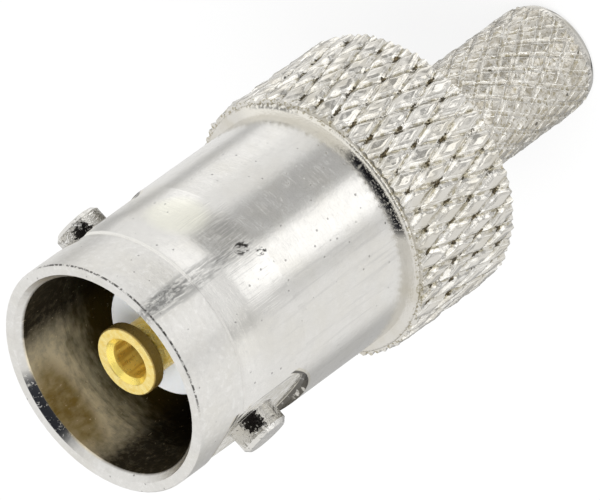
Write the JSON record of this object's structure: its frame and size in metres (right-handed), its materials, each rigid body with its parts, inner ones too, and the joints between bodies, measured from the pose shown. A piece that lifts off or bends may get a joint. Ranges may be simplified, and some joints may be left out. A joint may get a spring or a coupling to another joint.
{
  "type": "coaxial bayonet socket",
  "caption": "Bayonet coaxial socket for a crimped cable: plated barrel with bayonet lugs, diamond-knurled collar and knurled hollow stem, white insulator and gold centre contact",
  "frame": {"origin": "middle of the stem's end face, where the cable enters, on the socket's axis", "axes": "+Z runs along the axis from the cable end up to the mouth; the bayonet lugs stand out along +X and -X; Y completes the right-handed frame"},
  "size_m": [0.011, 0.011, 0.0266],
  "materials": {
    "barrel": "nickel plated, turned, lightly scratched",
    "crimp_body": "nickel plated, knurled, dull in the grooves",
    "insulator": "white fluoroplastic, turned",
    "contact": "gold plated"
  },
  "bodies": {
    "root": {"barrel": "barrel", "crimp_body": "crimp_body", "front_insulator": "insulator", "rear_insulator": "insulator", "centre_contact": "contact"}
  },
  "joints": []
}
